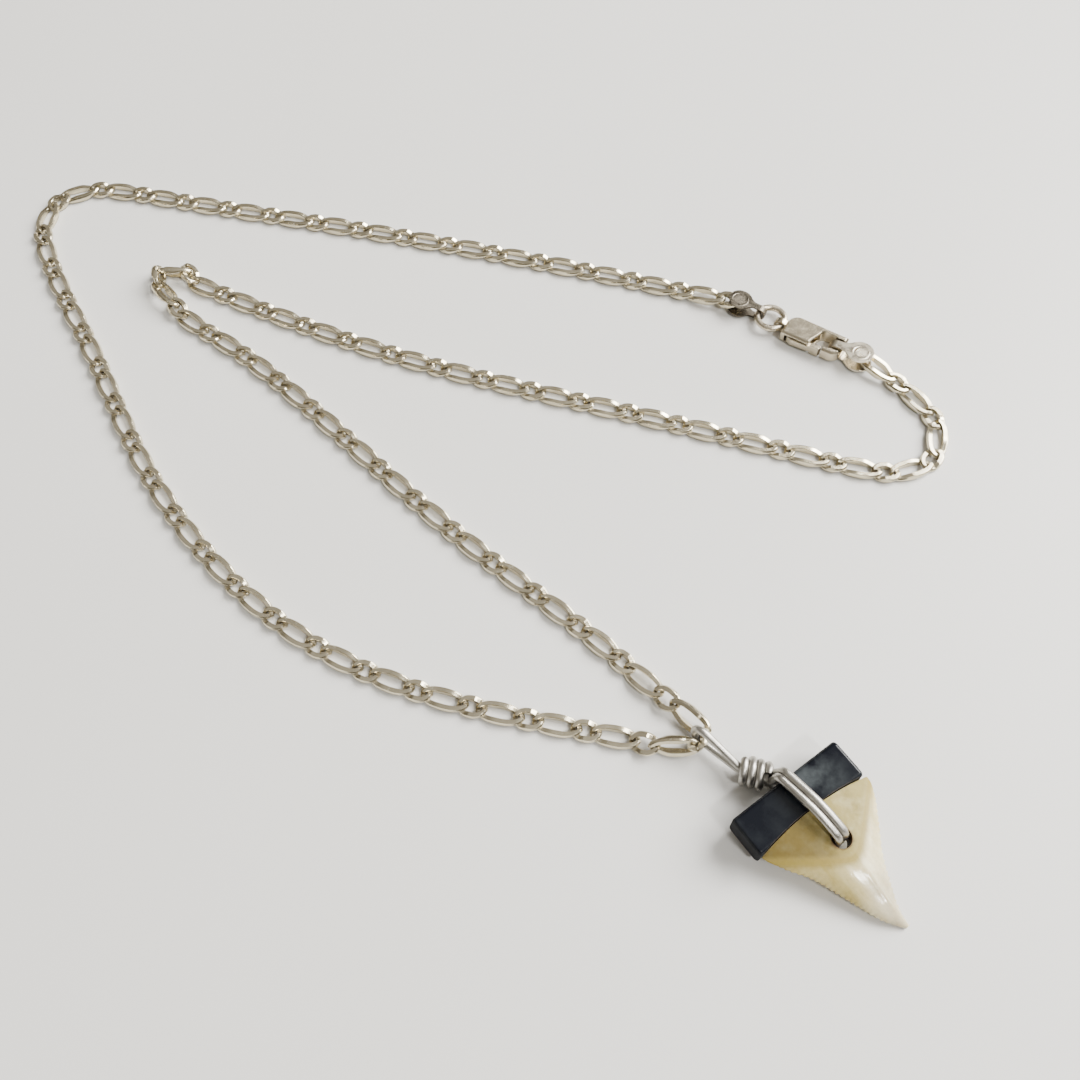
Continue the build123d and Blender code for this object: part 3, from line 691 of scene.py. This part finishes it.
def fine_tooth():
    """The tooth's skin with its hole, its shares stored for the material."""
    across = [-cos(pi * number / TOOTH_SIDES) for number in range(TOOTH_SIDES + 1)]
    shape = bmesh.new()
    rings = []
    for number in range(TOOTH_LENGTHS):
        depth = MOUTH + (TOOTH_END - MOUTH) * number / (TOOTH_LENGTHS - 1)
        ring = [tooth_point(depth, place, 1) for place in across]
        ring += [tooth_point(depth, place, -1) for place in reversed(across)]
        rings.append([shape.verts.new(pendant_place(*point)) for point in ring])
    loft(shape, rings)
    made = add_shape("tooth_skin", shape)
    drill = hole_cutter()
    cut = made.modifiers.new("hole", "BOOLEAN")
    cut.operation = "DIFFERENCE"
    cut.solver = "EXACT"
    cut.object = drill
    drilled = bpy.data.meshes.new_from_object(made.evaluated_get(bpy.context.evaluated_depsgraph_get()))
    made.modifiers.clear()
    made.data = drilled
    bpy.data.objects.remove(drill)
    add_attribute(drilled, "enamel", enamel_share)
    add_attribute(drilled, "tip", tip_share)
    add_attribute(drilled, "flank_shade", flank_shade_share)
    add_attribute(drilled, "bore", bore_share)
    drilled.shade_smooth()
    drilled.set_sharp_from_angle(angle=TOOTH_CREASE)
    paint(made, tooth_material())
    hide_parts("tooth")
    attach(made, "necklace")


# fine wire bail, in millimetres: both strands, the coil round them and the loop to the chain
WIRE = 0.475
LOOP_WIRE = 0.46
WIRE_SIDES = 20
WIRE_CREASE = radians(50)
BEND_STEPS = 12
STRAND_SIDE = 0.485
STRAND_HEADING = 128.6
COIL_HEADING = 156.8
LOOP_HEADING = 135.9
HOLE_TO_COIL = 9.8
COIL_RADIUS = 1.34
COIL_LENGTH = 3.9
COIL_PITCH = 0.95
COIL_RISE = 1.85
COIL_STEPS = 48
CORE_SPREAD = 0.5
CORE_RADIUS = 1.1
CORE_SIDES = 40

# corners of the strands, by distance from the hole and height over the table, then those of
# the loop, from the coil's end, and the radius of each bend
SHOULDER_AT = 9.1
SHOULDER_HEIGHT = 5.85
BOW_AT = 3.4
BOW_HEIGHT = 6.4
HOLE_HEIGHT = 4.88
UNDER_AT = 8.6
UNDER_HEIGHT = WIRE + 0.01
STRAND_BENDS = (0.6, 0.8, 9.0, 1.5, 0.8, 0.8, 0.8)
LOOP_REACH = 6.3
LOOP_TOP = 5.3
LOOP_BOTTOM = 1.25
LOOP_BENDS = (0.8, 1.5, 1.5, 0.8)


def line_up(start, heading, along, side, up):
    """A point from start, along a heading in degrees, to its left and up."""
    forward = Vector((cos(radians(heading)), sin(radians(heading)), 0))
    left = Vector((-forward.y, forward.x, 0))
    return start + forward * along + left * side + Vector((0, 0, up))


HOLE_FOOT = pendant_place(HOLE_AT[0], HOLE_AT[1], 0) / MM
HOLE_FOOT.z = 0
COIL_START = line_up(HOLE_FOOT, STRAND_HEADING, HOLE_TO_COIL, 0, 0)
COIL_END = line_up(COIL_START, COIL_HEADING, COIL_LENGTH, 0, 0)


def over(along, side, up):
    """A point on the strands' line, from the hole."""
    return line_up(HOLE_FOOT, STRAND_HEADING, along, side, up)


def coil(along, side, up):
    """A point on the coil's line, up from its middle."""
    return line_up(COIL_START, COIL_HEADING, along, side, COIL_RISE + up)


def rounded(corners, radii):
    """A path through corners, each rounded to its radius."""
    path = [corners[0]]
    for before, corner, after, radius in zip(corners, corners[1:], corners[2:], radii):
        back = (before - corner).normalized()
        on = (after - corner).normalized()
        cut = radius / np.tan(back.angle(on) / 2)
        start = corner + back * cut
        finish = corner + on * cut
        for number in range(BEND_STEPS + 1):
            t = number / BEND_STEPS
            path.append(start * (1 - t) ** 2 + corner * 2 * t * (1 - t) + finish * t * t)
    path.append(corners[-1])
    return path


def add_wire(shape, path, radius, sides=WIRE_SIDES):
    """Sweep a round wire along a path."""
    rings = []
    normal = None
    for number, point in enumerate(path):
        ahead = path[min(number + 1, len(path) - 1)] - path[max(number - 1, 0)]
        ahead.normalize()
        if normal is None:
            normal = ahead.orthogonal().normalized()
        normal = (normal - ahead * normal.dot(ahead)).normalized()
        other = ahead.cross(normal)
        ring = []
        for step in range(sides):
            turn = 2 * pi * step / sides
            out = normal * cos(turn) + other * sin(turn)
            ring.append(shape.verts.new((point + out * radius) * MM))
        rings.append(ring)
    loft(shape, rings)


def coil_path():
    """The coil's winding, a helix round the strands."""
    turns = (COIL_LENGTH - 2 * WIRE) / COIL_PITCH
    path = []
    for number in range(int(COIL_STEPS * turns) + 1):
        turn = 2 * pi * number / COIL_STEPS
        along = WIRE + COIL_PITCH * number / COIL_STEPS
        path.append(coil(along, -COIL_RADIUS * sin(turn), COIL_RADIUS * cos(turn)))
    return path


def strand_path(side):
    """One strand: from the coil over the cap, down the hole and back under."""
    corners = [
        coil(2 * WIRE, side, CORE_SPREAD),
        coil(0, side, CORE_SPREAD),
        over(SHOULDER_AT, side, SHOULDER_HEIGHT),
        over(BOW_AT, side, BOW_HEIGHT),
        over(0, side, HOLE_HEIGHT),
        over(0, side, UNDER_HEIGHT),
        over(UNDER_AT, side, UNDER_HEIGHT),
        coil(0, side, -CORE_SPREAD),
        coil(2 * WIRE, side, -CORE_SPREAD),
    ]
    return rounded(corners, STRAND_BENDS)


def loop_path():
    """The loop that a link of the chain passes through."""
    corners = [
        coil(COIL_LENGTH - 2 * WIRE, 0, CORE_SPREAD),
        coil(COIL_LENGTH, 0, CORE_SPREAD),
        line_up(COIL_END, LOOP_HEADING, LOOP_REACH, 0, LOOP_TOP),
        line_up(COIL_END, LOOP_HEADING, LOOP_REACH, 0, LOOP_BOTTOM),
        coil(COIL_LENGTH, 0, -CORE_SPREAD),
        coil(COIL_LENGTH - 2 * WIRE, 0, -CORE_SPREAD),
    ]
    return rounded(corners, LOOP_BENDS)


def fine_bail():
    """All the bail's wire in one mesh, with a core that fills the coil."""
    shape = bmesh.new()
    core = [coil(WIRE, 0, 0), coil(COIL_LENGTH - WIRE, 0, 0)]
    add_wire(shape, core, CORE_RADIUS, CORE_SIDES)
    add_wire(shape, coil_path(), WIRE)
    add_wire(shape, strand_path(STRAND_SIDE), WIRE)
    add_wire(shape, strand_path(-STRAND_SIDE), WIRE)
    add_wire(shape, loop_path(), LOOP_WIRE)
    made = add_shape("bail_wire", shape)
    made.data.shade_smooth()
    made.data.set_sharp_from_angle(angle=WIRE_CREASE)
    paint(made, bail_metal)
    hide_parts("wire_bail")
    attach(made, "necklace")


fine_chain()
fine_tooth()
fine_bail()

# the left tag's colour carries painted shade, the right tag keeps its own silver tone
paint(nodes["left_tag"], tag_material("left_tag_shaded_silver", LEFT_LEAF, LEFT_TAG_PAINTED_SHADE))
paint(nodes["right_tag"], tag_material("right_tag_silver", RIGHT_LEAF, RIGHT_TAG_TONE))
paint(nodes["jump_ring"], fitting_silver)
paint(nodes["clasp_body"], clasp_silver)
paint(nodes["clasp_lever"], clasp_silver)
paint(nodes["tooth_cap"], cap_material())

# floor, lights, room and camera, the camera's place and axes fitted to the view of the chain
FLOOR_REACH = 1.2
SENSOR = 36
FOCAL_SHARE = 1139.1 / 1080
CAMERA_AT = (0.0088, -0.07375, 0.1307)
CAMERA_RIGHT = Vector((0.99705, -0.06856, -0.03445))
CAMERA_UP = Vector((0.07672, 0.89096, 0.44768))
# the room's tone from the horizon to straight up
ROOM_TONES = (
    (0.0, (0.11, 0.098, 0.08)),
    (0.35, (0.20, 0.183, 0.155)),
    (0.75, (0.45, 0.425, 0.38)),
    (1.0, (0.60, 0.575, 0.53)),
)


def soft_light(name, place, aim, size, power, tint):
    lamp = bpy.data.lights.new(name, "AREA")
    lamp.shape = "RECTANGLE"
    lamp.size, lamp.size_y = size
    lamp.energy = power
    lamp.color = tint
    made = add_object(name, lamp)
    made.location = place
    made.rotation_euler = (Vector(aim) - Vector(place)).to_track_quat("-Z", "Y").to_euler()


def floor():
    bpy.ops.mesh.primitive_grid_add(
        x_subdivisions=4,
        y_subdivisions=4,
        size=2 * FLOOR_REACH,
        location=(0, 0, 0),
    )
    made = bpy.context.object
    made.name = "floor"
    material, tree, shader = tree_of("table_white")
    haze = ramp(tree, noise(tree, 0.012, detail=2.0), (0.3, 0.0), (0.7, 1.0))
    colour = mix(tree, haze, TABLE_WHITE, TABLE_HAZE)
    tree.links.new(colour, shader.inputs["Base Color"])
    shader.inputs["Roughness"].default_value = 0.42
    made.data.materials.append(material)


def room_tone():
    world = bpy.data.worlds.new("room_tone")
    world.use_nodes = True
    room = world.node_tree
    toward = add_node(room, "TexCoord")
    parts = add_node(room, "SeparateXYZ")
    room.links.new(toward.outputs["Generated"], parts.inputs["Vector"])
    room.links.new(ramp(room, parts.outputs["Z"], *ROOM_TONES), room.nodes["Background"].inputs["Color"])
    bpy.context.scene.world = world


def photo_camera():
    lens = bpy.data.cameras.new("photo_view")
    lens.sensor_width = SENSOR
    lens.lens = SENSOR * FOCAL_SHARE
    lens.clip_start = 0.002
    camera = add_object("photo_view", lens)
    axes = Matrix((CAMERA_RIGHT, CAMERA_UP, CAMERA_RIGHT.cross(CAMERA_UP)))
    camera.matrix_world = Matrix.Translation(CAMERA_AT) @ axes.transposed().to_4x4()
    bpy.context.scene.camera = camera


floor()
# a window on the right, its brightest pane, and a small lamp high in front
soft_light("window", (0.72, 0.22, 0.62), (0.0, 0.0, 0.0), (0.8, 0.7), 33.0, (1.0, 0.99, 0.965))
soft_light("glint", (0.56, 0.34, 0.66), (0.0, 0.0, 0.0), (0.22, 0.16), 1.8, (1.0, 1.0, 1.0))
soft_light("lamp", (0.37, -0.47, 0.79), (0.04, -0.05, 0.0), (0.10, 0.07), 4.5, (1.0, 0.99, 0.97))
room_tone()
photo_camera()
